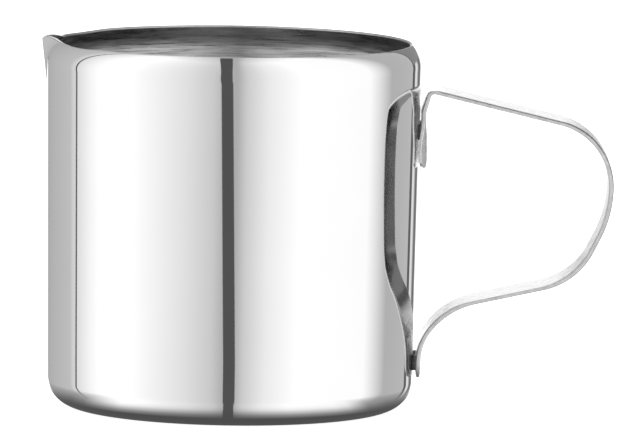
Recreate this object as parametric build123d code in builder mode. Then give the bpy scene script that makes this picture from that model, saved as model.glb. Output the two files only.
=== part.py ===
from build123d import *
from math import cos, radians, sin, sqrt, tan
import os

# Small milk jug: one deep-drawn steel cup with a pinched pouring beak, and one bent strip
# handle spot-welded to the wall. Millimetres. The origin is the centre of the flat base,
# +Z is up, the beak points to -X and the handle to +X.

# ---- cup ----
wall = 0.5                    # sheet thickness
draft = 0.745                 # degrees that the wall leans outward
shoulder_start_radius = 30.4  # outside, where the wall meets the shoulder
corner_radius = 4.9           # outside, between base and wall
shoulder_radius = 5.2         # outside, the curl below the rim
shoulder_turn = 47.5          # degrees that the curl turns inward
rim_height = 59.7

# ---- beak ----
beak_half_width = 8.0         # at the rim
even_growth = 0.45            # share of that width which grows evenly with height;
flare_power = 6               # the rest opens late, as this power of the share of height
beak_root_height = 51.2       # where the two flanks run out
ridge_foot_height = 52.4      # where the ridge leaves the wall
ridge_lean = 0.12             # outward run of the ridge for each millimetre of height
flank_skin = 0.08             # the flanks start this far under the cup's surface
flank_easing = 0.5            # a flank follows the cup for this share of its half width,
flank_knee_out = 0.64         # bends this share of the way out to the ridge
flank_knee_side = 0.22        # and this share of its half width from the middle
filled_throat = 4.0           # the beak is first solid to this depth inside the cup's surface
open_throat = 18.0            # and is then hollowed from this depth outwards
beak_levels = [52.0, 54.2, 56.2, 57.6, 58.7, 59.6, 60.4]
lip_start = 28.2              # the lip rises from the rim here, measured from the axis,
lip_shoulder = 29.8           # is drawn up towards two places
lip_brow = 31.0
lip_tip = 31.3                # and is back at the rim's height at the top of the ridge
lip_lift = 0.6                # height of those two places above the rim
cutter_reach = 16.0           # how far the cutting shape passes the steel

# ---- handle strip ----
strip_width = 12.0
strip_thickness = 0.8
upper_foot_line = 30.8        # centre line of the strip, from the cup's axis
lower_foot_line = 30.5
upper_foot_low = 39.75
upper_foot_high = 48.2        # the foot is flat here and curved to its full depth below
saddle_height = 42.6
saddle_bulge = 0.3            # its middle stands this far out from the centre line
saddle_sink = 0.6             # and its long edges this far in
lower_foot_low = 5.6
toe_radius = 2.6              # corners of each foot's free end
toe_slack = 0.01              # for picking a toe's edges by their height
# Corners of the centre line from the upper foot round to the lower one: distance from the
# cup's axis, height, bend radius.
handle_bends = [
    (30.8, 49.1, 3.0),
    (31.8, 52.5, 1.0),
    (61.9, 45.5, 10.7),
    (61.1, 32.4, 18.4),
    (55.9, 21.9, 11.4),
    (35.8, 17.4, 12.7),
    (30.5, 11.8, 8.9),
]

# ---- spot welds, two side by side on each foot ----
spot_radius = 1.3
spot_offset = 3.0             # from the middle of the strip
electrode_radius = 4.0        # round tip that leaves a dimple in the foot
dimple_depth = 0.2
spot_hole_reach = 1.6         # each way from the foot's centre line
upper_spot_height = 45.6
lower_spot_height = 8.0

# ---- worked out ----
lean = radians(draft)
curl = radians(shoulder_turn) - lean
shoulder_height = rim_height - shoulder_radius * (sin(curl) + sin(lean))
curl_centre_radius = shoulder_start_radius - shoulder_radius * cos(lean)
curl_centre_height = shoulder_height + shoulder_radius * sin(lean)
corner_top = corner_radius * (1 - sin(lean))
side_length = (shoulder_height - corner_top) / cos(lean)
base_flat_radius = shoulder_start_radius - side_length * sin(lean) - corner_radius * cos(lean)
rim_radius = curl_centre_radius + shoulder_radius * cos(curl)


def cup_radius(height, inset):
    """Radius of the leaning wall or the shoulder, outside (0) or inset into the sheet."""
    if height < curl_centre_height:
        return shoulder_start_radius - (shoulder_height - height) * tan(lean) - inset
    rise = height - curl_centre_height
    return curl_centre_radius + sqrt((shoulder_radius - inset) ** 2 - rise**2)


def beak_section(height, inset, throat):
    """Face of the beak at one height: two flanks meeting at the ridge, closed inside."""
    grown = (height - beak_root_height) / (rim_height - beak_root_height)
    opened = even_growth * grown + (1 - even_growth) * grown**flare_power
    half_width = beak_half_width * opened
    outside = cup_radius(height, 0)
    ridge = shoulder_start_radius + ridge_lean * (height - ridge_foot_height)
    root_radius = cup_radius(height, inset) - flank_skin
    root = Vector(-sqrt(root_radius**2 - half_width**2), half_width)
    along_cup = Vector(-root.Y, root.X).normalized()
    easing = root + along_cup * flank_easing * half_width
    knee_distance = outside + flank_knee_out * (ridge - outside)
    knee = Vector(-knee_distance, flank_knee_side * half_width)
    tip = Vector(-ridge, 0)
    to_tip = (tip - knee).normalized()
    knee += Vector(-to_tip.Y, to_tip.X) * inset
    tip += Vector(inset / abs(to_tip.Y), 0)
    with BuildSketch(Plane.XY.offset(height)) as section:
        with BuildLine():
            flank = Bezier(root, easing, knee, tip)
            mirror(flank, about=Plane.XZ)
            Polyline(root, (throat - outside, 0), (root.X, -root.Y))
        make_face()
    return section.sketch


def saddle(height):
    """Bulge and sink of the upper foot at a height: full below, none at its flat top."""
    share = min(1, (upper_foot_high - height) / (upper_foot_high - saddle_height))
    return saddle_bulge * share, saddle_sink * share


def foot_section(height):
    """Curved cross-section of the upper foot, lying round the cup."""
    bulge, sink = saddle(height)
    inner_line = upper_foot_line - strip_thickness / 2
    outer_line = upper_foot_line + strip_thickness / 2
    side = strip_width / 2
    with BuildSketch(Plane.XY.offset(height)) as section:
        with BuildLine():
            inner = ThreePointArc(
                (inner_line - sink, -side), (inner_line + bulge, 0), (inner_line - sink, side)
            )
            outer = ThreePointArc(
                (outer_line - sink, side), (outer_line + bulge, 0), (outer_line - sink, -side)
            )
            Line(inner @ 1, outer @ 0)
            Line(outer @ 1, inner @ 0)
        make_face()
    return section.sketch


def flat_section(height):
    """Flat cross-section of the strip at the top of the upper foot."""
    with BuildSketch(Plane.XY.offset(height)) as section:
        with Locations((upper_foot_line, 0)):
            Rectangle(strip_thickness, strip_width)
    return section.sketch


def spots(height, start):
    """Two round spots side by side, in a plane across X at a start distance."""
    with BuildSketch(Plane.YZ.offset(start)) as pair:
        with Locations((-spot_offset, height), (spot_offset, height)):
            Circle(spot_radius)
    return pair.sketch


def weld_depth(height):
    """Distance from the cup's axis at which a pair of spots lies wholly inside the sheet."""
    return sqrt(cup_radius(height, wall / 4) ** 2 - (spot_offset + spot_radius) ** 2)


def dimples(height, face):
    """Hollows left by the electrode, sunk below a foot's outer face."""
    centre = face + electrode_radius - dimple_depth
    with Locations((centre, -spot_offset, height), (centre, spot_offset, height)):
        Sphere(electrode_radius, mode=Mode.SUBTRACT)


# ---- cup body: wall of revolution, beak pressed out of it ----
with BuildPart() as cup_body:
    with BuildSketch(Plane.XZ):
        with BuildLine():
            base = Line((0, 0), (base_flat_radius, 0))
            corner = JernArc(base @ 1, base % 1, corner_radius, 90 - draft)
            side = PolarLine(corner @ 1, side_length, direction=corner % 1)
            JernArc(side @ 1, side % 1, shoulder_radius, shoulder_turn)
            offset(amount=wall, side=Side.LEFT)
        make_face()
    revolve(axis=Axis.Z)
    loft([beak_section(height, inset=0, throat=filled_throat) for height in beak_levels])
    with BuildSketch(Plane.XZ):
        with BuildLine():
            lip = Bezier(
                (-lip_tip, rim_height),
                (-lip_brow, rim_height + lip_lift),
                (-lip_shoulder, rim_height + lip_lift),
                (-lip_start, rim_height),
            )
            Polyline(
                lip @ 1,
                (0, rim_height),
                (0, rim_height + cutter_reach),
                (-lip_tip - cutter_reach, rim_height + cutter_reach),
                (-lip_tip - cutter_reach, rim_height),
                lip @ 0,
            )
        make_face()
    extrude(amount=cutter_reach, both=True, mode=Mode.SUBTRACT)
    hollow = [beak_section(height, inset=wall, throat=open_throat) for height in beak_levels]
    loft(hollow, mode=Mode.SUBTRACT)
    with BuildSketch(Plane.XZ):
        with BuildLine():
            Polyline(
                (curl_centre_radius, curl_centre_height),
                (rim_radius, rim_height),
                (curl_centre_radius, rim_height),
                close=True,
            )
        make_face()
    revolve(axis=Axis.Z, mode=Mode.SUBTRACT)
cup_body.part.label = "cup_body"

# ---- handle strip: a bent flat strip whose upper foot is curved round the wall ----
with BuildPart() as handle_strip:
    with BuildSketch(Plane.XZ):
        with BuildLine():
            FilletPolyline(
                (upper_foot_line, upper_foot_high),
                *[(distance, height) for distance, height, _ in handle_bends],
                (lower_foot_line, lower_foot_low),
                radius=[bend_radius for _, _, bend_radius in handle_bends],
            )
        trace(line_width=strip_thickness)
    extrude(amount=strip_width / 2, both=True)
    extrude(foot_section(upper_foot_low), amount=saddle_height - upper_foot_low)
    loft([foot_section(saddle_height), flat_section(upper_foot_high)])
    for toe in (upper_foot_low, lower_foot_low):
        toe_corners = handle_strip.edges().filter_by(Axis.X)
        at_toe = toe_corners.filter_by_position(Axis.Z, toe - toe_slack, toe + toe_slack)
        fillet(at_toe, toe_radius)
    for holes in (
        spots(upper_spot_height, upper_foot_line),
        spots(lower_spot_height, lower_foot_line),
    ):
        extrude(holes, amount=spot_hole_reach, both=True, mode=Mode.SUBTRACT)
handle_strip.part.label = "handle_strip"

# ---- spot welds: each fills its hole in the foot and reaches the wall ----
bulge, sink = saddle(upper_spot_height)
curve_drop = (bulge + sink) * (2 * spot_offset / strip_width) ** 2
upper_spot_face = upper_foot_line + strip_thickness / 2 + bulge - curve_drop
upper_depth = weld_depth(upper_spot_height)
upper_length = upper_spot_face + dimple_depth - upper_depth
with BuildPart() as upper_spot_welds:
    extrude(spots(upper_spot_height, upper_depth), amount=upper_length)
    add(cup_body.part, mode=Mode.SUBTRACT)
    dimples(upper_spot_height, upper_spot_face)
upper_spot_welds.part.label = "upper_spot_welds"

lower_spot_face = lower_foot_line + strip_thickness / 2
lower_depth = weld_depth(lower_spot_height)
lower_length = lower_spot_face + dimple_depth - lower_depth
with BuildPart() as lower_spot_welds:
    extrude(spots(lower_spot_height, lower_depth), amount=lower_length)
    add(cup_body.part, mode=Mode.SUBTRACT)
    dimples(lower_spot_height, lower_spot_face)
lower_spot_welds.part.label = "lower_spot_welds"

os.makedirs("parts", exist_ok=True)
export_step(cup_body.part, "parts/cup_body.step")
export_step(handle_strip.part, "parts/handle_strip.step")
export_step(upper_spot_welds.part, "parts/upper_spot_welds.step")
export_step(lower_spot_welds.part, "parts/lower_spot_welds.step")
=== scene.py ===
import math

import bpy
import numpy as np
from mathutils import Matrix, Vector


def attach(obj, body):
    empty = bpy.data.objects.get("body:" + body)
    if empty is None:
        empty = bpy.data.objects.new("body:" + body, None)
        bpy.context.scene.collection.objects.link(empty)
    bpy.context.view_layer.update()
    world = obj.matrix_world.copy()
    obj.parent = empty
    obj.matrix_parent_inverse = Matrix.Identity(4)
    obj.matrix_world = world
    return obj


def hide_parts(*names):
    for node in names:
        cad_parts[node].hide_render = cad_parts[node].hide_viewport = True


# Looks for a small milk jug: a polished steel cup, its bent strip handle and four spot welds.
# Metres, in the CAD frame: the base stands on z = 0, the beak points to -X, the handle to +X.
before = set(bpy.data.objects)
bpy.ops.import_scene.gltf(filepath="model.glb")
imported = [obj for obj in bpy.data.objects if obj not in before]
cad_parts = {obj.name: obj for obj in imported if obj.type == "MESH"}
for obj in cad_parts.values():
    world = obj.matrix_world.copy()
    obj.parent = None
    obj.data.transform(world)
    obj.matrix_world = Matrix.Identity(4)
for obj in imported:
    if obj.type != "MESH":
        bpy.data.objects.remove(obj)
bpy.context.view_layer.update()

MM = 0.001
TINY = 0.01 * MM              # for comparing heights

# ---- cup, the same driving dimensions as its CAD body ----
WALL = 0.5 * MM
DRAFT = math.radians(0.745)
SHOULDER_START_RADIUS = 30.4 * MM
CORNER_RADIUS = 4.9 * MM
SHOULDER_RADIUS = 5.2 * MM
SHOULDER_TURN = math.radians(47.5)
RIM_HEIGHT = 59.7 * MM
EDGE_ROUNDING = 0.12 * MM     # of each corner of the cut edge round the mouth
# Rings of points: over the base at these shares of its flat radius, and how many elsewhere.
BASE_SHARES = (0.3, 0.6, 0.85, 0.97)
OUTER_CORNER_RINGS = 40
INNER_CORNER_RINGS = 20
SIDE_RINGS = 10
OUTER_BEAK_RINGS = 45
INNER_BEAK_RINGS = 39
EDGE_RINGS = 5

# ---- beak ----
BEAK_HALF_WIDTH = 8.0 * MM
EVEN_GROWTH = 0.45            # share of that width which grows evenly with height
FLARE_POWER = 6
BEAK_ROOT_HEIGHT = 51.2 * MM
BEAK_MARGIN = 0.7 * MM        # closely spaced rings start this far below the root
FLANK_POINTS = 90             # along each flank's curve
RIDGE_FOOT_HEIGHT = 52.4 * MM
RIDGE_LEAN = 0.12
FLANK_SKIN = 0.08 * MM
FLANK_EASING = 0.5
FLANK_KNEE_OUT = 0.64
FLANK_KNEE_SIDE = 0.22
LIP_START = 28.2 * MM
LIP_PEAK = 30.4 * MM
LIP_TIP = 31.3 * MM
LIP_LIFT = 0.44 * MM
DIP_DEPTH = 0.2 * MM          # the rim sinks a little each side of the beak
DIP_PLACE = math.radians(30)
DIP_SPREAD = math.radians(17)
MOUTH_ROUNDS = 6              # of settling the rim's height against its reach

# ---- handle strip ----
STRIP_WIDTH = 12.0 * MM
STRIP_THICKNESS = 0.8 * MM
EDGE_RUN = 1.4 * MM           # the faces ease down towards the cut edges over this run
EDGE_DROP = 0.22 * MM         # and by this much, which leaves a flat between
PAINTED_EDGE_HIGHLIGHT = 0.9 * MM     # painted highlight: the edge's bright material laps onto the inner face
UPPER_FOOT_TOP = 48.2 * MM
SADDLE_HEIGHT = 42.6 * MM
SADDLE_BULGE = 0.3 * MM
SADDLE_SINK = 0.6 * MM
TOE_RADIUS = 2.6 * MM
# The strip's mesh: fine along the feet and coarser along the loop, from just past the eased edge.
PAST_EDGE = 1.65 * MM
FOOT_END = 8.6 * MM
FOOT_STEP = 0.25 * MM
MIDDLE_START = 8.8 * MM
MIDDLE_STEP = 0.45 * MM
INNER_COLUMNS = 18
CUT_EDGE_LEVELS = (0.8, 0.0, -0.8)   # lines along the cut edge, as shares of half its height
# Corners of the centre line: distance from the cup's axis, height, bend radius.
HANDLE_ROUTE = [
    (30.8, 39.75, 0.0),
    (30.8, 49.1, 3.0),
    (31.8, 52.5, 1.0),
    (61.9, 45.5, 10.7),
    (61.1, 32.4, 18.4),
    (55.9, 21.9, 11.4),
    (35.8, 17.4, 12.7),
    (30.5, 11.8, 8.9),
    (30.5, 5.6, 0.0),
]

# ---- spot welds ----
SPOT_RADIUS = 1.3 * MM
SPOT_OFFSET = 3.0 * MM
UPPER_SPOT_HEIGHT = 45.6 * MM
LOWER_SPOT_HEIGHT = 8.0 * MM
CRATER_DEPTH = 0.2 * MM
CRATER_RING = 0.035 * MM      # steel squeezed up round the electrode's print,
CRATER_RING_PLACE = 1.2       # highest at this share of the spot's radius
CRATER_RING_SPREAD = 0.16
WELD_BLOCK = 1.9 * MM         # half the side of the patch of mesh refilled round each spot,
PATCH_RINGS = (0.75, 0.5, 0.3, 0.15, 0.0)   # with rings this far out from the spot's edge

# ---- worked out ----
CURL = SHOULDER_TURN - DRAFT
SHOULDER_HEIGHT = RIM_HEIGHT - SHOULDER_RADIUS * (math.sin(CURL) + math.sin(DRAFT))
CURL_CENTRE_RADIUS = SHOULDER_START_RADIUS - SHOULDER_RADIUS * math.cos(DRAFT)
CURL_CENTRE_HEIGHT = SHOULDER_HEIGHT + SHOULDER_RADIUS * math.sin(DRAFT)
CORNER_TOP = CORNER_RADIUS * (1 - math.sin(DRAFT))
CORNER_CENTRE_RADIUS = (
    SHOULDER_START_RADIUS
    - (SHOULDER_HEIGHT - CORNER_TOP) * math.tan(DRAFT)
    - CORNER_RADIUS * math.cos(DRAFT)
)


# ======================================================================== mesh helpers


def make_object(name, points, faces, materials, face_materials=None):
    """A smooth-shaded mesh object that rides on the jug's one body."""
    mesh = bpy.data.meshes.new(name)
    mesh.from_pydata([tuple(p) for p in points], [], faces)
    for material in materials:
        mesh.materials.append(material)
    mesh.polygons.foreach_set("use_smooth", [True] * len(faces))
    if face_materials is not None:
        mesh.polygons.foreach_set("material_index", face_materials)
    mesh.update()
    piece = bpy.data.objects.new(name, mesh)
    bpy.context.scene.collection.objects.link(piece)
    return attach(piece, "root")


def smooth_step(value, low, high):
    """0 below low, 1 above high and an eased slope between."""
    share = np.clip((value - low) / (high - low), 0, 1)
    return share * share * (3 - 2 * share)


# ======================================================================== cup


def cup_radius(height, inset):
    """Radius of the leaning wall or the shoulder, outside (0) or inset into the sheet."""
    height = np.asarray(height, float)
    side = SHOULDER_START_RADIUS - (SHOULDER_HEIGHT - height) * math.tan(DRAFT) - inset
    rise = np.clip(height - CURL_CENTRE_HEIGHT, 0, SHOULDER_RADIUS - inset)
    shoulder = CURL_CENTRE_RADIUS + np.sqrt((SHOULDER_RADIUS - inset) ** 2 - rise**2)
    return np.where(height < CURL_CENTRE_HEIGHT, side, shoulder)


def flank_curve(height, inset):
    """One flank of the beak at a height, as (angle from the beak's middle, radius)."""
    grown = (height - BEAK_ROOT_HEIGHT) / (RIM_HEIGHT - BEAK_ROOT_HEIGHT)
    opened = EVEN_GROWTH * grown + (1 - EVEN_GROWTH) * grown**FLARE_POWER
    half_width = BEAK_HALF_WIDTH * opened
    outside = float(cup_radius(height, 0))
    ridge = SHOULDER_START_RADIUS + RIDGE_LEAN * (height - RIDGE_FOOT_HEIGHT)
    root_radius = float(cup_radius(height, inset)) - FLANK_SKIN
    root = Vector((math.sqrt(root_radius**2 - half_width**2), half_width))
    along_cup = Vector((root.y, -root.x)).normalized()
    easing = root + along_cup * FLANK_EASING * half_width
    knee_distance = outside + FLANK_KNEE_OUT * (ridge - outside)
    knee = Vector((knee_distance, FLANK_KNEE_SIDE * half_width))
    tip = Vector((ridge, 0))
    to_tip = (tip - knee).normalized()
    knee -= Vector((-to_tip.y, to_tip.x)) * inset
    tip -= Vector((inset / abs(to_tip.y), 0))
    t = np.linspace(0, 1, FLANK_POINTS)[:, None]
    curve = (
        np.array(root) * (1 - t) ** 3
        + np.array(easing) * 3 * t * (1 - t) ** 2
        + np.array(knee) * 3 * t**2 * (1 - t)
        + np.array(tip) * t**3
    )
    return np.arctan2(curve[:, 1], curve[:, 0])[::-1], np.hypot(*curve.T)[::-1]


def pressed_radius(angles, height, inset):
    """Radius at each angle from the beak, at one height, with the beak pressed out."""
    plain = float(cup_radius(height, inset))
    radii = np.full(len(angles), plain)
    if height <= BEAK_ROOT_HEIGHT + TINY:
        return radii
    flank_angles, flank_radii = flank_curve(height, inset)
    stands_out = np.interp(np.abs(angles), flank_angles, flank_radii, right=0) - plain
    # An eased union, so that the flank leaves the cup without a crease.
    easing = np.clip(1 - np.abs(stands_out) / FLANK_SKIN, 0, 1) ** 2 * FLANK_SKIN / 4
    return radii + np.maximum(stands_out, 0) + easing


def mouth_height(angles):
    """Height of the rim's outer edge: level, dipping beside the beak and lifted along its lip."""
    heights = np.full(len(angles), RIM_HEIGHT)
    for _ in range(MOUTH_ROUNDS):
        along = np.array(
            [pressed_radius(angles[i : i + 1], heights[i], 0)[0] for i in range(len(angles))]
        ) * np.cos(angles)
        climbing = np.clip((LIP_PEAK - along) / (LIP_PEAK - LIP_START), 0, 1)
        drooping = np.clip((along - LIP_PEAK) / (LIP_TIP - LIP_PEAK), 0, 1)
        lift = np.where(
            along < LIP_PEAK, np.cos(climbing * math.pi / 2) ** 2, 1 - drooping**2
        )
        heights = RIM_HEIGHT + LIP_LIFT * lift
    aside = np.clip((np.abs(angles) - DIP_PLACE) / DIP_SPREAD, -1, 1)
    return heights - DIP_DEPTH * np.cos(aside * math.pi / 2) ** 2


def cup_angles():
    """Column angles all round, closest together at the beak's ridge and along its flanks."""
    ridge_end = 1.2
    flank_end = 22
    ridge = np.linspace(0, ridge_end, 16)
    flank = np.linspace(ridge_end, flank_end, 64)[1:]
    plain = np.linspace(flank_end, 180, 134)[1:]
    half = np.radians(np.concatenate([ridge, flank, plain]))
    return np.concatenate([half, -half[-2:0:-1]])


def make_cup(polished, brushed, cut):
    """The cup as one closed skin of rings, from under the base, over the rim and down inside."""
    angles = cup_angles()
    columns = len(angles)
    across = np.stack([-np.cos(angles), np.sin(angles)], axis=1)

    def ring(radii, heights):
        radii = np.broadcast_to(radii, (columns,))
        heights = np.broadcast_to(heights, (columns,))
        return np.concatenate([across * radii[:, None], heights[:, None]], axis=1)

    def pressed_ring(heights, inset):
        radii = [
            pressed_radius(angles[i : i + 1], heights[i], inset)[0] for i in range(columns)
        ]
        return ring(np.array(radii), heights)

    def lower_rings(inset, corner_steps, side_heights):
        """Rings from the middle of the base to the wall, at the outside or inset."""
        radius = CORNER_RADIUS - inset
        made = [ring(share * CORNER_CENTRE_RADIUS, inset) for share in BASE_SHARES]
        for tilt in np.linspace(-math.pi / 2, -DRAFT, corner_steps):
            made.append(
                ring(
                    CORNER_CENTRE_RADIUS + radius * math.cos(tilt),
                    CORNER_RADIUS + radius * math.sin(tilt),
                )
            )
        for height in side_heights:
            made.append(ring(float(cup_radius(height, inset)), height))
        return made

    beak_start = BEAK_ROOT_HEIGHT - BEAK_MARGIN
    side_heights = np.linspace(CORNER_TOP, beak_start, SIDE_RINGS + 2)[1:-1]
    mouth = mouth_height(angles)

    # The outer top edge, and the way down the outside from it.
    top = pressed_ring(mouth, 0)
    below = pressed_ring(mouth - EDGE_ROUNDING, 0)
    down = below - top
    slope = np.arctan2(
        np.hypot(below[:, 0], below[:, 1]) - np.hypot(top[:, 0], top[:, 1]), EDGE_ROUNDING
    )
    down /= np.linalg.norm(down, axis=1)[:, None]
    inner_mouth = mouth - WALL * np.sin(np.maximum(slope, 0))
    inner_top = pressed_ring(inner_mouth, WALL)
    inward = inner_top - top
    inward /= np.linalg.norm(inward, axis=1)[:, None]
    outer_end = (top + down * EDGE_ROUNDING)[:, 2]
    inner_end = (inner_top + down * EDGE_ROUNDING)[:, 2]

    rings = lower_rings(0, OUTER_CORNER_RINGS, side_heights)
    for share in np.linspace(0, 1, OUTER_BEAK_RINGS + 1)[:-1]:
        rings.append(pressed_ring(beak_start + share * (outer_end - beak_start), 0))
    for turn in np.linspace(0, math.pi / 2, EDGE_RINGS):
        over = inward * EDGE_ROUNDING * (1 - math.cos(turn))
        rings.append(top + over + down * EDGE_ROUNDING * (1 - math.sin(turn)))
    outside_count = len(rings)
    for turn in np.linspace(math.pi / 2, 0, EDGE_RINGS):
        over = inward * EDGE_ROUNDING * (1 - math.cos(turn))
        rings.append(inner_top - over + down * EDGE_ROUNDING * (1 - math.sin(turn)))
    for share in np.linspace(1, 0, INNER_BEAK_RINGS + 1)[1:]:
        rings.append(pressed_ring(beak_start + share * (inner_end - beak_start), WALL))
    rings += lower_rings(WALL, INNER_CORNER_RINGS, side_heights)[::-1]

    points = [(0, 0, 0)] + [p for one in rings for p in one] + [(0, 0, WALL)]
    faces = []
    kinds = []
    for column in range(columns):
        after = (column + 1) % columns
        faces.append((0, 1 + column, 1 + after))
        kinds.append(0)
        last = 1 + (len(rings) - 1) * columns
        faces.append((len(points) - 1, last + after, last + column))
        kinds.append(1)
        for row in range(len(rings) - 1):
            low = 1 + row * columns
            high = low + columns
            faces.append((low + column, high + column, high + after, low + after))
            on_edge = abs(row + 0.5 - (outside_count - 0.5)) < EDGE_RINGS
            kinds.append(2 if on_edge else 0 if row < outside_count else 1)
    cup = make_object("cup_shell", points, faces, [polished, brushed, cut], kinds)
    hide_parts("cup_body")


# ======================================================================== handle strip


def rounded_route():
    """The strip's centre line, as straight runs joined by arcs.

    A line is its start, end and direction. An arc is its start, centre and turn.
    """
    corners = [Vector((x * MM, z * MM)) for x, z, _ in HANDLE_ROUTE]
    runs = []
    start = corners[0]
    for index in range(1, len(corners) - 1):
        corner = corners[index]
        radius = HANDLE_ROUTE[index][2] * MM
        into = (corner - corners[index - 1]).normalized()
        out = (corners[index + 1] - corner).normalized()
        turn = math.atan2(into.x * out.y - into.y * out.x, into.dot(out))
        reach = radius * math.tan(abs(turn) / 2)
        arc_start = corner - into * reach
        runs.append(("line", start, arc_start, into))
        centre = arc_start + Vector((-into.y, into.x)) * math.copysign(radius, turn)
        runs.append(("arc", arc_start, centre, turn))
        start = corner + out * reach
    runs.append(("line", start, corners[-1], (corners[-1] - start).normalized()))
    return runs


def walk_route(runs, distances):
    """Point and direction in the XZ plane at each distance along the route."""
    points = []
    directions = []
    for distance in distances:
        left = distance
        for kind, begin, other, bend in runs:
            if kind == "line":
                length = (other - begin).length
                if left <= length or (kind, begin) == (runs[-1][0], runs[-1][1]):
                    points.append(begin + bend * left)
                    directions.append(bend)
                    break
            else:
                spoke = begin - other
                length = spoke.length * abs(bend)
                if left <= length:
                    turned = Matrix.Rotation(bend * left / length, 2) @ spoke
                    ahead = Vector((-turned.y, turned.x)) * math.copysign(1, bend)
                    points.append(other + turned)
                    directions.append(ahead.normalized())
                    break
            left -= length
    return np.array(points), np.array(directions)


def route_length(runs):
    """Length of the centre line, which is the flat length of the strip."""
    total = 0
    for kind, begin, other, bend in runs:
        total += (other - begin).length if kind == "line" else (begin - other).length * abs(bend)
    return total


RUNS = rounded_route()
STRIP_LENGTH = route_length(RUNS)
UPPER_SPOT_PLACE = UPPER_SPOT_HEIGHT - HANDLE_ROUTE[0][1] * MM
LOWER_SPOT_PLACE = STRIP_LENGTH - (LOWER_SPOT_HEIGHT - HANDLE_ROUTE[-1][1] * MM)


def half_width(along):
    """Half the strip's width, narrowing round the corners of its two toes."""
    from_end = np.minimum(along, STRIP_LENGTH - along)
    short = np.clip(TOE_RADIUS - from_end, 0, TOE_RADIUS)
    return STRIP_WIDTH / 2 - TOE_RADIUS + np.sqrt(TOE_RADIUS**2 - short**2)


def edge_distance(along, side):
    """Distance inward from the strip's outline, which has rounded toes."""
    past_end = np.abs(along - STRIP_LENGTH / 2) - STRIP_LENGTH / 2 + TOE_RADIUS
    past_side = np.abs(side) - STRIP_WIDTH / 2 + TOE_RADIUS
    corner = np.hypot(np.maximum(past_end, 0), np.maximum(past_side, 0))
    inside = np.minimum(np.maximum(past_end, past_side), 0)
    return np.maximum(TOE_RADIUS - corner - inside, 0)


def print_depth(distance):
    """Depth of an electrode's print, with the low ring squeezed up round it."""
    bowl = CRATER_DEPTH * np.clip(1 - (distance / SPOT_RADIUS) ** 2, 0, 1)
    off_ring = (distance / SPOT_RADIUS - CRATER_RING_PLACE) / CRATER_RING_SPREAD
    return bowl - CRATER_RING * np.exp(-(off_ring**2))


def strip_points(along, side, lift):
    """Points of the strip at a lift from its middle surface, into the finger gap if positive."""
    spine, direction = walk_route(RUNS, along)
    normal = np.stack([direction[:, 1], -direction[:, 0]], axis=1)
    toe = HANDLE_ROUTE[0][1] * MM
    saddle = 1 - smooth_step(along, SADDLE_HEIGHT - toe, UPPER_FOOT_TOP - toe)
    bow = SADDLE_BULGE - (SADDLE_BULGE + SADDLE_SINK) * (side / (STRIP_WIDTH / 2)) ** 2
    flat = spine + normal * (saddle * bow + lift)[:, None]
    return np.stack([flat[:, 0], side, flat[:, 1]], axis=1)


def strip_surface(along, side, face):
    """Points of the strip's face: face +1 looks into the finger gap, -1 away from it."""
    short = np.clip(1 - edge_distance(along, side) / EDGE_RUN, 0, 1)
    lift = STRIP_THICKNESS / 2 - EDGE_DROP * (1 - np.sqrt(1 - short**2))
    place = UPPER_SPOT_PLACE if face > 0 else LOWER_SPOT_PLACE
    aside = np.abs(side) - SPOT_OFFSET
    lift = lift - print_depth(np.hypot(along - place, aside))
    return strip_points(along, side, face * lift)


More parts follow.
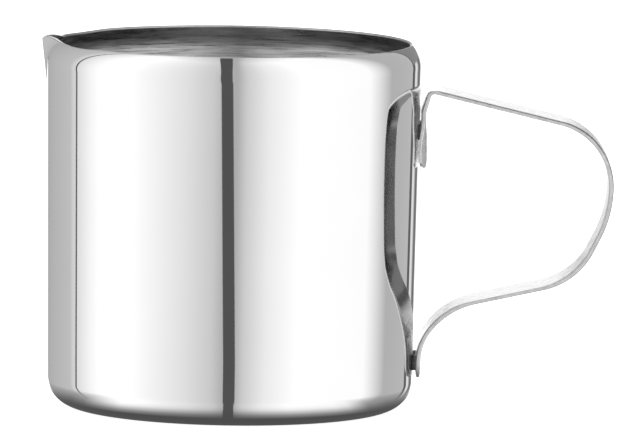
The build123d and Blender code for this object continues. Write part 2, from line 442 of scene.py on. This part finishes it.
def make_strip(steel, edge_and_highlight_steel):
    """The strip as two faces on one grid, joined by its cut edge and the walls of four holes."""
    round_in = EDGE_RUN * (1 - np.cos(np.radians([0, 15, 30, 45, 60, 75, 90])))
    toe = np.concatenate([round_in, np.arange(PAST_EDGE, FOOT_END, FOOT_STEP)])
    middle = np.arange(MIDDLE_START, STRIP_LENGTH - MIDDLE_START, MIDDLE_STEP)
    stations = np.concatenate([toe, middle, (STRIP_LENGTH - toe)[::-1]])
    inner = np.linspace(STRIP_WIDTH / 2 - PAST_EDGE, 0, INNER_COLUMNS)
    half_columns = 1 - np.concatenate([round_in, STRIP_WIDTH / 2 - inner]) / (STRIP_WIDTH / 2)
    shares = np.concatenate([-half_columns, half_columns[-2::-1]])

    rows, columns = len(stations), len(shares)
    along = np.repeat(stations, columns)
    side = (half_width(stations)[:, None] * shares[None, :]).ravel()
    at = np.arange(rows * columns).reshape(rows, columns)

    # Square blocks of the grid round the four weld holes, refilled with rings of faces.
    blocked = np.zeros((rows - 1, columns - 1), bool)
    ring_faces = []
    hole_loops = []
    for place in (UPPER_SPOT_PLACE, LOWER_SPOT_PLACE):
        row_start = int(np.argmin(np.abs(stations - (place - WELD_BLOCK))))
        row_stop = int(np.argmin(np.abs(stations - (place + WELD_BLOCK))))
        middle_width = half_width(np.array([place]))[0]
        for centre in (-SPOT_OFFSET, SPOT_OFFSET):
            places = shares * middle_width
            column_start = int(np.argmin(np.abs(places - (centre - WELD_BLOCK))))
            column_stop = int(np.argmin(np.abs(places - (centre + WELD_BLOCK))))
            blocked[row_start:row_stop, column_start:column_stop] = True
            loop = [at[row_start, c] for c in range(column_start, column_stop)]
            loop += [at[r, column_stop] for r in range(row_start, row_stop)]
            loop += [at[row_stop, c] for c in range(column_stop, column_start, -1)]
            loop += [at[r, column_start] for r in range(row_stop, row_start, -1)]
            border = np.stack([along[loop], side[loop]], axis=1)
            spokes = border - np.array([place, centre])
            circle = spokes / np.linalg.norm(spokes, axis=1)[:, None] * SPOT_RADIUS
            previous = loop
            for share in PATCH_RINGS:
                ring_points = np.array([place, centre]) + circle * (1 - share) + spokes * share
                current = list(range(len(along), len(along) + len(loop)))
                along = np.concatenate([along, ring_points[:, 0]])
                side = np.concatenate([side, ring_points[:, 1]])
                for k in range(len(loop)):
                    n = (k + 1) % len(loop)
                    ring_faces.append((previous[k], previous[n], current[n], current[k]))
                previous = current
            hole_loops.append(previous)

    sheet = list(ring_faces)
    for row in range(rows - 1):
        for column in range(columns - 1):
            if not blocked[row, column]:
                sheet.append(
                    (
                        at[row, column],
                        at[row, column + 1],
                        at[row + 1, column + 1],
                        at[row + 1, column],
                    )
                )
    count = len(along)
    faces = [tuple(int(i) for i in face) for face in sheet]
    faces += [tuple(int(i) + count for i in face[::-1]) for face in sheet]
    for loop in hole_loops:
        for k in range(len(loop)):
            n = (k + 1) % len(loop)
            ends = (loop[k], loop[n], loop[n] + count, loop[k] + count)
            faces.append(tuple(int(i) for i in ends))
    # Painted highlight: faces of the inner face this close to the outline take the cut edge's
    # material.
    border = edge_distance(along, side) < PAINTED_EDGE_HIGHLIGHT
    border = np.concatenate([border, np.zeros(count, bool)])
    kinds = [int(all(border[i] for i in face)) for face in faces]

    # The flat cut edge, all round the outline between the two sheets.
    outline = [at[0, c] for c in range(columns)]
    outline += [at[r, -1] for r in range(1, rows)]
    outline += [at[-1, c] for c in range(columns - 2, -1, -1)]
    outline += [at[r, 0] for r in range(rows - 2, 0, -1)]
    edge_half = STRIP_THICKNESS / 2 - EDGE_DROP
    points = [strip_surface(along, side, 1), strip_surface(along, side, -1)]
    levels = [np.array(outline)]
    for share in CUT_EDGE_LEVELS:
        levels.append(2 * count + (len(levels) - 1) * len(outline) + np.arange(len(outline)))
        lift = np.full(len(outline), share * edge_half)
        points.append(strip_points(along[outline], side[outline], lift))
    levels.append(np.array(outline) + count)
    for upper, lower in zip(levels[:-1], levels[1:]):
        for k in range(len(outline)):
            n = (k + 1) % len(outline)
            faces.append(tuple(int(i) for i in (upper[n], upper[k], lower[k], lower[n])))
    kinds += [1] * (len(faces) - len(kinds))
    points = np.concatenate(points)
    used = sorted({i for face in faces for i in face})
    renumber = {old: new for new, old in enumerate(used)}
    faces = [tuple(renumber[i] for i in face) for face in faces]
    strip = make_object("handle_band", points[used], faces, [steel, edge_and_highlight_steel], kinds)
    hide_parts("handle_strip")


# ======================================================================== spot welds


def make_welds(name, node, place, height, face, steel, neck_steel):
    """Two welds of one foot: a dished round face, a short neck, and an end on the wall."""
    rings = [0.2, 0.4, 0.6, 0.8, 0.93, 1.0]
    segments = 40
    turns = np.linspace(0, 2 * math.pi, segments, endpoint=False)
    root_radius = float(cup_radius(height, 0)) - WALL / 8
    points = []
    faces = []
    necks = []
    for centre in (-SPOT_OFFSET, SPOT_OFFSET):
        first = len(points)
        around = [(0.0, 0.0)]
        around += [
            (share * SPOT_RADIUS * math.cos(t), share * SPOT_RADIUS * math.sin(t))
            for share in rings
            for t in turns
        ]
        offsets = np.array(around)
        side = centre + offsets[:, 0]
        dished = strip_surface(place + offsets[:, 1] * face, side, face)
        reach = np.sqrt(root_radius**2 - side**2)
        root = np.stack([reach, side, height + offsets[:, 1]], axis=1)
        points += [tuple(p) for p in dished] + [tuple(p) for p in root]
        back = first + len(dished)
        outer = 1 + (len(rings) - 1) * segments
        for k in range(segments):
            n = (k + 1) % segments
            faces.append((first, first + 1 + k, first + 1 + n))
            faces.append((back, back + 1 + n, back + 1 + k))
            for ring in range(len(rings) - 1):
                a = 1 + ring * segments
                b = a + segments
                faces.append((first + a + k, first + b + k, first + b + n, first + a + n))
                faces.append((back + a + n, back + b + n, back + b + k, back + a + k))
            necks.append(
                (first + outer + k, back + outer + k, back + outer + n, first + outer + n)
            )
    kinds = [0] * len(faces) + [1] * len(necks)
    welds = make_object(name, points, faces + necks, [steel, neck_steel], kinds)
    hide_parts(node)


# ======================================================================== materials

# Painted light: the handle's feet are brighter up to the first of these distances from the
# jug's axis, and have faded to the strip's own tone at the second.
PAINTED_FOOT_LIGHT_REACH = (32.0 * MM, 34.5 * MM)
# Light caught between a foot and the cup bounces there more often than is traced. A faint
# glow stands for it: its lowest and highest level, and the distances where it fades out.
CAUGHT_LIGHT = (0.05, 0.17)
CAUGHT_REACH = (30.9 * MM, 31.4 * MM)
# The inside darkens between these heights, up to the rim, to this share.
MOUTH_SHADE = (56.0 * MM, 57.8 * MM)
MOUTH_SHADE_LEVEL = 0.45
# Turning marks inside the cup, per metre: round the cup, and across the marks.
MARKS_ALONG = 110.0
MARKS_ACROSS = 3800.0
# A weld's colours by the share of its radius: the print, the heat tint and the steel round it.
WELD_TINTS = [
    (0.0, (0.30, 0.30, 0.31)),
    (0.78, (0.36, 0.34, 0.31)),
    (1.0, (0.55, 0.545, 0.53)),
]
NOISE_SPREAD = (0.3, 0.7)     # most of a noise's values lie between these


def new_material(name):
    """A material, with its nodes, its links and its shader."""
    material = bpy.data.materials.new(name)
    material.use_nodes = True
    nodes = material.node_tree.nodes
    return material, nodes, material.node_tree.links, nodes["Principled BSDF"]


def feed(links, socket, value):
    """Link a socket to another, or set it to a number, which a colour takes as a grey."""
    if isinstance(value, bpy.types.NodeSocket):
        links.new(value, socket)
    elif socket.type == "RGBA":
        socket.default_value = (value, value, value, 1)
    else:
        socket.default_value = value


def math_node(nodes, links, operation, first, second=None):
    node = nodes.new("ShaderNodeMath")
    node.operation = operation
    feed(links, node.inputs[0], first)
    if second is not None:
        feed(links, node.inputs[1], second)
    return node.outputs[0]


def length_node(nodes, links, first, second):
    """Length of the diagonal across two distances."""
    squares = math_node(
        nodes,
        links,
        "ADD",
        math_node(nodes, links, "MULTIPLY", first, first),
        math_node(nodes, links, "MULTIPLY", second, second),
    )
    return math_node(nodes, links, "SQRT", squares)


def split_place(nodes, links, output="Object"):
    """The node that splits an object's own coordinates, or the studio's directions."""
    place = nodes.new("ShaderNodeTexCoord")
    split = nodes.new("ShaderNodeSeparateXYZ")
    links.new(place.outputs[output], split.inputs["Vector"])
    return split


def stretched_noise(nodes, links, scales, detail=4.0, roughness=0.6):
    """Noise on the object's own coordinates, stretched by a scale for each axis."""
    place = nodes.new("ShaderNodeTexCoord")
    stretch = nodes.new("ShaderNodeMapping")
    stretch.inputs["Scale"].default_value = scales
    links.new(place.outputs["Object"], stretch.inputs["Vector"])
    noise = nodes.new("ShaderNodeTexNoise")
    noise.inputs["Scale"].default_value = 1.0
    noise.inputs["Detail"].default_value = detail
    noise.inputs["Roughness"].default_value = roughness
    links.new(stretch.outputs["Vector"], noise.inputs["Vector"])
    return noise.outputs["Fac"]


def ranged(nodes, links, value, low, high, to_low, to_high):
    """A value carried from one range to another, and held at its ends."""
    node = nodes.new("ShaderNodeMapRange")
    links.new(value, node.inputs["Value"])
    node.inputs["From Min"].default_value = low
    node.inputs["From Max"].default_value = high
    node.inputs["To Min"].default_value = to_low
    node.inputs["To Max"].default_value = to_high
    return node.outputs["Result"]


def axis_distance(nodes, links):
    """Distance from the jug's upright axis, and the node that splits the coordinates."""
    split = split_place(nodes, links)
    return length_node(nodes, links, split.outputs["X"], split.outputs["Y"]), split


def colour_ramp(nodes, links, value, stops):
    """A ramp of colours: stops are (position, (red, green, blue))."""
    node = nodes.new("ShaderNodeValToRGB")
    elements = node.color_ramp.elements
    elements.remove(elements[-1])
    for index, (position, colour) in enumerate(stops):
        stop = elements[0] if index == 0 else elements.new(position)
        stop.position = position
        stop.color = (*colour, 1)
    links.new(value, node.inputs["Fac"])
    return node.outputs["Color"]


def grey_ramp(nodes, links, value, stops):
    """A ramp of greys: stops are (position, level)."""
    greys = [(position, (level, level, level)) for position, level in stops]
    return colour_ramp(nodes, links, value, greys)


def bump(nodes, links, height, distance, strength, below=None):
    node = nodes.new("ShaderNodeBump")
    node.inputs["Strength"].default_value = strength
    node.inputs["Distance"].default_value = distance
    links.new(height, node.inputs["Height"])
    if below is not None:
        links.new(below, node.inputs["Normal"])
    return node.outputs["Normal"]


def polished_steel():
    """Mirror-polished stainless with a faint waviness and hairline polishing marks."""
    material, nodes, links, shader = new_material("cup_mirror_polish")
    shader.inputs["Metallic"].default_value = 1.0
    tone = stretched_noise(nodes, links, (60, 60, 60), 2.0)
    colour = grey_ramp(nodes, links, tone, [(0, 0.615), (1, 0.64)])
    links.new(colour, shader.inputs["Base Color"])
    hairlines = stretched_noise(nodes, links, (300, 300, 9000), 3.0)
    links.new(
        ranged(nodes, links, hairlines, 0.35, 0.75, 0.015, 0.05), shader.inputs["Roughness"]
    )
    waves = stretched_noise(nodes, links, (55, 55, 30), 1.0)
    wavy = bump(nodes, links, waves, 0.000004, 1.0)
    marked = bump(nodes, links, hairlines, 0.0000004, 1.0, wavy)
    links.new(marked, shader.inputs["Normal"])
    return material


def brushed_inside():
    """Inside of the cup: rings of fine turning marks, duller than the outside."""
    material, nodes, links, shader = new_material("cup_inside_brushed")
    shader.inputs["Metallic"].default_value = 1.0
    shader.inputs["Anisotropic"].default_value = 0.85
    shader.inputs["Anisotropic Rotation"].default_value = 0.25
    radius, split = axis_distance(nodes, links)
    depth = math_node(nodes, links, "ADD", radius, split.outputs["Z"])
    rings = nodes.new("ShaderNodeCombineXYZ")
    for axis, distance, density in (
        ("X", split.outputs["X"], MARKS_ALONG),
        ("Y", split.outputs["Y"], MARKS_ALONG),
        ("Z", depth, MARKS_ACROSS),
    ):
        links.new(math_node(nodes, links, "MULTIPLY", distance, density), rings.inputs[axis])
    noise = nodes.new("ShaderNodeTexNoise")
    noise.inputs["Scale"].default_value = 1.0
    noise.inputs["Detail"].default_value = 5.0
    noise.inputs["Roughness"].default_value = 0.7
    links.new(rings.outputs["Vector"], noise.inputs["Vector"])
    marks = noise.outputs["Fac"]
    tone = math_node(
        nodes,
        links,
        "MULTIPLY",
        ranged(nodes, links, marks, 0.36, 0.68, 0.38, 0.95),
        ranged(nodes, links, split.outputs["Z"], *MOUTH_SHADE, 1.0, MOUTH_SHADE_LEVEL),
    )
    links.new(tone, shader.inputs["Base Color"])
    links.new(ranged(nodes, links, marks, *NOISE_SPREAD, 0.22, 0.38), shader.inputs["Roughness"])
    around = nodes.new("ShaderNodeTangent")
    around.direction_type = "RADIAL"
    around.axis = "Z"
    links.new(around.outputs["Tangent"], shader.inputs["Tangent"])
    links.new(bump(nodes, links, marks, 0.00001, 0.8), shader.inputs["Normal"])
    return material


def strip_steel(name, dark, light, smooth, dull, grain_depth, painted_foot_light_gain=1.0):
    """Scuffed stainless with lengthwise grain. A gain above 1 paints light on the handle's feet."""
    material, nodes, links, shader = new_material(name)
    shader.inputs["Metallic"].default_value = 1.0
    scuffs = stretched_noise(nodes, links, (900, 900, 900), 3.0, 0.7)
    radius, _ = axis_distance(nodes, links)
    # Painted light: the tone is raised on the handle's feet, close to the cup.
    tone = math_node(
        nodes,
        links,
        "MULTIPLY",
        ranged(nodes, links, scuffs, *NOISE_SPREAD, dark, light),
        ranged(nodes, links, radius, *PAINTED_FOOT_LIGHT_REACH, painted_foot_light_gain, 1.0),
    )
    links.new(tone, shader.inputs["Base Color"])
    if painted_foot_light_gain > 1:
        caught = math_node(
            nodes,
            links,
            "MULTIPLY",
            ranged(nodes, links, scuffs, *NOISE_SPREAD, *CAUGHT_LIGHT),
            ranged(nodes, links, radius, *CAUGHT_REACH, 1.0, 0.0),
        )
        links.new(caught, shader.inputs["Emission Color"])
        shader.inputs["Emission Strength"].default_value = 1.0
    grain = stretched_noise(nodes, links, (80, 7000, 80), 3.0)
    links.new(ranged(nodes, links, scuffs, *NOISE_SPREAD, smooth, dull), shader.inputs["Roughness"])
    lined = bump(nodes, links, grain, 0.000002, 0.6)
    links.new(bump(nodes, links, scuffs, grain_depth, 0.5, lined), shader.inputs["Normal"])
    return material


def weld_steel(name, height):
    """Spot weld face: matt, darker in the print, with a faint straw heat tint at its edge."""
    material, nodes, links, shader = new_material(name)
    shader.inputs["Metallic"].default_value = 1.0
    split = split_place(nodes, links)
    off_middle = math_node(nodes, links, "ABSOLUTE", split.outputs["Y"])
    aside = math_node(nodes, links, "SUBTRACT", off_middle, SPOT_OFFSET)
    above = math_node(nodes, links, "SUBTRACT", split.outputs["Z"], height)
    from_centre = length_node(nodes, links, aside, above)
    out = math_node(nodes, links, "DIVIDE", from_centre, SPOT_RADIUS)
    grit = stretched_noise(nodes, links, (2500, 2500, 2500), 3.0, 0.7)
    mottled = math_node(
        nodes, links, "ADD", out, ranged(nodes, links, grit, *NOISE_SPREAD, -0.12, 0.12)
    )
    links.new(colour_ramp(nodes, links, mottled, WELD_TINTS), shader.inputs["Base Color"])
    links.new(ranged(nodes, links, grit, *NOISE_SPREAD, 0.26, 0.42), shader.inputs["Roughness"])
    links.new(bump(nodes, links, grit, 0.00002, 0.6), shader.inputs["Normal"])
    return material


# ======================================================================== studio

# What the mirror polish sees all round, as (azimuth, level): grey walls, two broad soft panels
# and a bright strip of wall behind. Azimuths are in degrees from the camera's side, negative to
# the left.
PANEL = 1.75
BACK = 2.0
STUDIO_WALLS = [
    (-180, BACK),
    (-167.5, BACK),
    (-165, 0.45),
    (-161, 0.53),
    (-146, 0.65),
    (-121, 0.80),
    (-117.5, 1.0),
    (-114.8, 1.0),
    (-112.8, 1.12),
    (-99, 1.46),
    (-84, PANEL),
    (-66, 1.62),
    (-30, 1.20),
    (-12, 0.93),
    (-5.8, 0.72),
    (2.0, 0.64),
    (8, 0.95),
    (22, 1.32),
    (43, 1.62),
    (93, 1.55),
    (114, 0.68),
    (146, 0.70),
    (149, 1.0),
    (153.5, 1.0),
    (155.5, 0.38),
    (160, 0.14),
    (163, 0.30),
    (172, BACK),
]
# Narrow dark gaps with crisp sides: start, end, softness of each side, level.
STUDIO_GAPS = [
    (-167.3, -165.3, 0.4, 0.10),
    (-114.6, -113.0, 0.3, 0.14),
    (143.8, 148.8, 0.4, 0.16),
]
# Dull screens above the horizon, towards the back on both sides: start, end, level.
SCREENS = [(-170, -162, 0.47), (145, 171, 0.33)]
SCREEN_BOTTOM = math.sin(math.radians(2))
SCREEN_SOFTNESS = 0.02
# The ceiling takes over between these elevations. Its level goes by the share of a direction
# that points sideways, and is dim above the camera.
CEILING_START = math.sin(math.radians(58))
CEILING_FULL = math.sin(math.radians(76))
CEILING = [
    (-0.60, 1.62),
    (-0.285, 1.20),
    (-0.115, 0.93),
    (-0.056, 0.72),
    (0.02, 0.64),
    (0.077, 0.95),
    (0.21, 1.32),
    (0.40, 1.62),
    (0.60, 1.70),
]


def between(nodes, links, azimuth, start, end, softness):
    """1 between two azimuths in degrees, 0 outside, with sides of a given softness."""
    low, high, half = (math.radians(a) for a in (start, end, softness / 2))
    opening = ranged(nodes, links, azimuth, low - half, low + half, 0.0, 1.0)
    closing = ranged(nodes, links, azimuth, high - half, high + half, 1.0, 0.0)
    return math_node(nodes, links, "MULTIPLY", opening, closing)


def mixed(nodes, links, share, under, over):
    """One colour or grey level with a share of another laid over it."""
    blend = nodes.new("ShaderNodeMix")
    blend.data_type = "RGBA"
    links.new(share, blend.inputs["Factor"])
    # A mix node has sockets for each kind of data: these are the ones for colours.
    feed(links, blend.inputs[6], under)
    feed(links, blend.inputs[7], over)
    return blend.outputs[2]


def studio_walls(nodes, links, azimuth, gaps):
    """Level of the studio's walls at an azimuth, with crisp gaps in them."""
    stops = [((degrees + 180) / 360, level) for degrees, level in STUDIO_WALLS]
    share = ranged(nodes, links, azimuth, -math.pi, math.pi, 0.0, 1.0)
    seen = grey_ramp(nodes, links, share, stops)
    for start, end, softness, level in gaps:
        gap = between(nodes, links, azimuth, start, end, softness)
        seen = mixed(nodes, links, gap, seen, level)
    return seen


def azimuth_of(nodes, links, split):
    """Azimuth from the camera's side, of a direction or a place given by its coordinates."""
    toward = math_node(nodes, links, "MULTIPLY", split.outputs["Y"], -1.0)
    return math_node(nodes, links, "ARCTAN2", split.outputs["X"], toward)


def make_studio_light():
    """World light: upright bands round the horizon under a bright ceiling."""
    world = bpy.data.worlds.new("studio")
    bpy.context.scene.world = world
    world.use_nodes = True
    nodes = world.node_tree.nodes
    links = world.node_tree.links
    split = split_place(nodes, links, "Generated")
    azimuth = azimuth_of(nodes, links, split)
    seen = studio_walls(nodes, links, azimuth, STUDIO_GAPS)
    bottom = (SCREEN_BOTTOM - SCREEN_SOFTNESS, SCREEN_BOTTOM + SCREEN_SOFTNESS)
    above = ranged(nodes, links, split.outputs["Z"], *bottom, 0.0, 1.0)
    for start, end, level in SCREENS:
        aside = between(nodes, links, azimuth, start, end, 1.0)
        share = math_node(nodes, links, "MULTIPLY", aside, above)
        seen = mixed(nodes, links, share, seen, level)
    overhead = nodes.new("ShaderNodeMapRange")
    overhead.interpolation_type = "SMOOTHSTEP"
    overhead.inputs["From Min"].default_value = CEILING_START
    overhead.inputs["From Max"].default_value = CEILING_FULL
    links.new(split.outputs["Z"], overhead.inputs["Value"])
    sideways = ranged(nodes, links, split.outputs["X"], -1.0, 1.0, 0.0, 1.0)
    stops = [((side + 1) / 2, level) for side, level in CEILING]
    ceiling = grey_ramp(nodes, links, sideways, stops)
    seen = mixed(nodes, links, overhead.outputs["Result"], seen, ceiling)
    links.new(seen, nodes["Background"].inputs["Color"])
    nodes["Background"].inputs["Strength"].default_value = 1.0


DISC_SEGMENTS = 96
ALL_BUT_GLOSSY = ["camera", "diffuse", "shadow", "transmission"]


def make_stage(name, points, faces, material, hidden_from):
    """A mesh of the studio, hidden from some kinds of ray."""
    mesh = bpy.data.meshes.new(name)
    mesh.from_pydata(points, [], faces)
    mesh.materials.append(material)
    piece = bpy.data.objects.new(name, mesh)
    bpy.context.scene.collection.objects.link(piece)
    for ray in hidden_from:
        setattr(piece, "visible_" + ray, False)


def disc(radius, height):
    """Points and the one face of a level disc round the jug's axis."""
    turns = np.linspace(0, 2 * math.pi, DISC_SEGMENTS, endpoint=False)
    points = [(radius * math.cos(t), radius * math.sin(t), height) for t in turns]
    return points, [tuple(range(DISC_SEGMENTS))]


def glow_only(name):
    """A black material that only glows, with its nodes, its links and its shader."""
    material, nodes, links, shader = new_material(name)
    shader.inputs["Base Color"].default_value = (0, 0, 0, 1)
    shader.inputs["Specular IOR Level"].default_value = 0
    return material, nodes, links, shader


# The floor glows by itself, so the jug throws only a faint shadow on it.
FLOOR_RADIUS = 3.0
FLOOR_HEIGHT = -0.02 * MM
FLOOR_GREY = 0.6
FLOOR_ROUGHNESS = 0.9
FLOOR_GLOW = 0.90
# What polished steel sees of it is the sheen of a small disc, which fades out at its border and
# darkens under the jug to a faint glow: (share of the way across the shade's reach, level).
SHEEN_RADIUS = 40 * MM
SHEEN_HEIGHT = -0.01 * MM
SHEEN_FADE_START = 31 * MM
SHADE_REACH = (25 * MM, 35 * MM)
FLOOR_SHADE = [
    (0.0, 0.0),
    (0.32, 0.0),
    (0.44, 0.22),
    (0.50, 0.40),
    (0.58, 0.60),
    (0.66, 0.78),
    (0.78, 0.90),
    (1.0, 1.0),
]
UNDERGLOW = 0.115
# The sheen mirrors the studio's walls up to the last of these azimuths, in radians. They dim
# from the first, to this share at the last.
SHEEN_AZIMUTHS = (1.4, math.radians(140))
SHEEN_SIDES = 0.40
SLOT_IN_SHEEN = (-4.6, 2.8, 0.6)     # start, end and softness of each side, in degrees

# The card of the camera's slot. Each corner pair has its distance in front of the jug's axis,
# its height, middle and width, in millimetres. The card leans level with the jug and ends in a
# cover above it.
SLOT_LEVEL = 0.128
SLOT_CARD = [
    (300, -900, -5.5, 37.0),
    (300, -30, -3.0, 37.0),
    (300, 28, -22.5, 36.0),
    (300, 190, -24.0, 37.0),
    (300, 317, -27.7, 43.0),
    (300, 500, -34.5, 55.0),
    (40, 500, -21.4, 34.0),
]


def make_floor():
    """A plain pale table, and the sheen of its top, which only polished steel picks up.

    The sheen shows the studio's walls, as the jug's base corner sees them mirrored in the table.
    """
    paper, _, _, shader = new_material("floor_pale")
    shader.inputs["Base Color"].default_value = (FLOOR_GREY, FLOOR_GREY, FLOOR_GREY, 1)
    shader.inputs["Roughness"].default_value = FLOOR_ROUGHNESS
    shader.inputs["Emission Color"].default_value = (1, 1, 1, 1)
    shader.inputs["Emission Strength"].default_value = FLOOR_GLOW
    make_stage("floor", *disc(FLOOR_RADIUS, FLOOR_HEIGHT), paper, ["glossy"])

    gloss, nodes, links, shader = glow_only("floor_gloss")
    radius, split = axis_distance(nodes, links)
    azimuth = math_node(nodes, links, "MULTIPLY", azimuth_of(nodes, links, split), 2.0)
    azimuth = math_node(nodes, links, "MINIMUM", azimuth, SHEEN_AZIMUTHS[1])
    azimuth = math_node(nodes, links, "MAXIMUM", azimuth, -SHEEN_AZIMUTHS[1])
    walls = studio_walls(nodes, links, azimuth, [])
    slot = between(nodes, links, azimuth, *SLOT_IN_SHEEN)
    walls = mixed(nodes, links, slot, walls, SLOT_LEVEL)
    outward = ranged(nodes, links, radius, *SHADE_REACH, 0.0, 1.0)
    turned = math_node(nodes, links, "ABSOLUTE", azimuth)
    shade = math_node(
        nodes,
        links,
        "MULTIPLY",
        grey_ramp(nodes, links, outward, FLOOR_SHADE),
        ranged(nodes, links, turned, *SHEEN_AZIMUTHS, 1.0, SHEEN_SIDES),
    )
    sheen = mixed(nodes, links, shade, UNDERGLOW, walls)
    links.new(sheen, shader.inputs["Emission Color"])
    shader.inputs["Emission Strength"].default_value = 1.0
    fade = ranged(nodes, links, radius, SHEEN_FADE_START, SHEEN_RADIUS, 1.0, 0.0)
    links.new(fade, shader.inputs["Alpha"])
    make_stage("floor_gloss", *disc(SHEEN_RADIUS, SHEEN_HEIGHT), gloss, ALL_BUT_GLOSSY)


def make_slot():
    """The dark slot that the camera looks out of, as a card that only polished steel sees."""
    dark, _, _, shader = glow_only("camera_slot")
    shader.inputs["Emission Color"].default_value = (1, 1, 1, 1)
    shader.inputs["Emission Strength"].default_value = SLOT_LEVEL
    points = []
    for distance, height, middle, width in SLOT_CARD:
        points.append(((middle - width / 2) * MM, -distance * MM, height * MM))
        points.append(((middle + width / 2) * MM, -distance * MM, height * MM))
    faces = [(k, k + 1, k + 3, k + 2) for k in range(0, len(points) - 2, 2)]
    make_stage("camera_slot", points, faces, dark, ALL_BUT_GLOSSY)


def make_backdrop():
    """A plain white surround far behind the floor, seen only directly."""
    white = bpy.data.materials.new("backdrop_white")
    white.use_nodes = True
    nodes = white.node_tree.nodes
    nodes.clear()
    glow = nodes.new("ShaderNodeEmission")
    glow.inputs["Color"].default_value = (1, 1, 1, 1)
    glow.inputs["Strength"].default_value = 1.0
    out = nodes.new("ShaderNodeOutputMaterial")
    white.node_tree.links.new(glow.outputs[0], out.inputs["Surface"])
    rows = 12
    columns = 48
    radius = 4.0
    lowest = -10
    highest = 88
    points = []
    faces = []
    for row in range(rows + 1):
        tilt = math.radians(lowest + (highest - lowest) * row / rows)
        for column in range(columns):
            turn = 2 * math.pi * column / columns
            points.append(
                (
                    radius * math.cos(tilt) * math.cos(turn),
                    radius * math.cos(tilt) * math.sin(turn),
                    radius * math.sin(tilt),
                )
            )
    for row in range(rows):
        for column in range(columns):
            after = (column + 1) % columns
            low = row * columns
            high = low + columns
            faces.append((low + column, high + column, high + after, low + after))
    hidden_from = ["glossy", "diffuse", "shadow", "transmission"]
    make_stage("backdrop", points, faces, white, hidden_from)


# ======================================================================== camera

VIEW_DISTANCE = 1.75
VIEW_ELEVATION = math.radians(6.2)
VIEW_ROLL = math.radians(0.87)       # the top of the jug leans a little to the right
VIEW_TARGET = Vector((0, 0, 0.030))
FRAME_WIDTH = 0.1040                 # width of the picture at the jug
AIM_RIGHT = 0.01428                  # the picture's middle lies this far right of the target
AIM_UP = 0.00022
SENSOR_WIDTH = 36.0


def make_camera():
    """A long lens in front of the jug, a little above it, slightly rolled and off to one side."""
    toward_jug = Vector((0, math.cos(VIEW_ELEVATION), -math.sin(VIEW_ELEVATION)))
    place = VIEW_TARGET - toward_jug * VIEW_DISTANCE
    level_right = Vector((1, 0, 0))
    level_up = level_right.cross(toward_jug)
    right = level_right * math.cos(VIEW_ROLL) + level_up * math.sin(VIEW_ROLL)
    up = level_up * math.cos(VIEW_ROLL) - level_right * math.sin(VIEW_ROLL)
    aim = VIEW_TARGET + right * AIM_RIGHT + up * AIM_UP
    ahead = (aim - place).normalized()
    right = (right - ahead * right.dot(ahead)).normalized()
    up = right.cross(ahead)
    data = bpy.data.cameras.new("camera")
    data.sensor_width = SENSOR_WIDTH
    data.lens = SENSOR_WIDTH * VIEW_DISTANCE / FRAME_WIDTH
    data.clip_start = 0.05
    data.clip_end = 20
    camera = bpy.data.objects.new("camera", data)
    bpy.context.scene.collection.objects.link(camera)
    turn = Matrix((right, up, -ahead)).transposed().to_4x4()
    camera.matrix_world = Matrix.Translation(place) @ turn
    bpy.context.scene.camera = camera


make_cup(
    polished_steel(),
    brushed_inside(),
    strip_steel(
        "cup_cut_edge", dark=0.30, light=0.42, smooth=0.30, dull=0.42, grain_depth=0.00001
    ),
)
make_strip(
    strip_steel(
        "handle_faces",
        dark=0.21,
        light=0.27,
        smooth=0.22,
        dull=0.32,
        grain_depth=0.000006,
        painted_foot_light_gain=2.4,
    ),
    # The cut edge's own steel, which also paints the highlight along the inner face's border.
    strip_steel(
        "handle_edge_and_highlight", dark=0.58, light=0.72, smooth=0.28, dull=0.40, grain_depth=0.00002
    ),
)
make_welds(
    "upper_weld_pair",
    "upper_spot_welds",
    UPPER_SPOT_PLACE,
    UPPER_SPOT_HEIGHT,
    1,
    weld_steel("upper_weld_print", UPPER_SPOT_HEIGHT),
    strip_steel(
        "upper_weld_neck", dark=0.30, light=0.60, smooth=0.45, dull=0.60, grain_depth=0.00003
    ),
)
make_welds(
    "lower_weld_pair",
    "lower_spot_welds",
    LOWER_SPOT_PLACE,
    LOWER_SPOT_HEIGHT,
    -1,
    weld_steel("lower_weld_print", LOWER_SPOT_HEIGHT),
    strip_steel(
        "lower_weld_neck", dark=0.10, light=0.24, smooth=0.45, dull=0.60, grain_depth=0.00003
    ),
)
make_studio_light()
make_floor()
make_slot()
make_backdrop()
make_camera()
bpy.context.scene.view_settings.view_transform = "Standard"
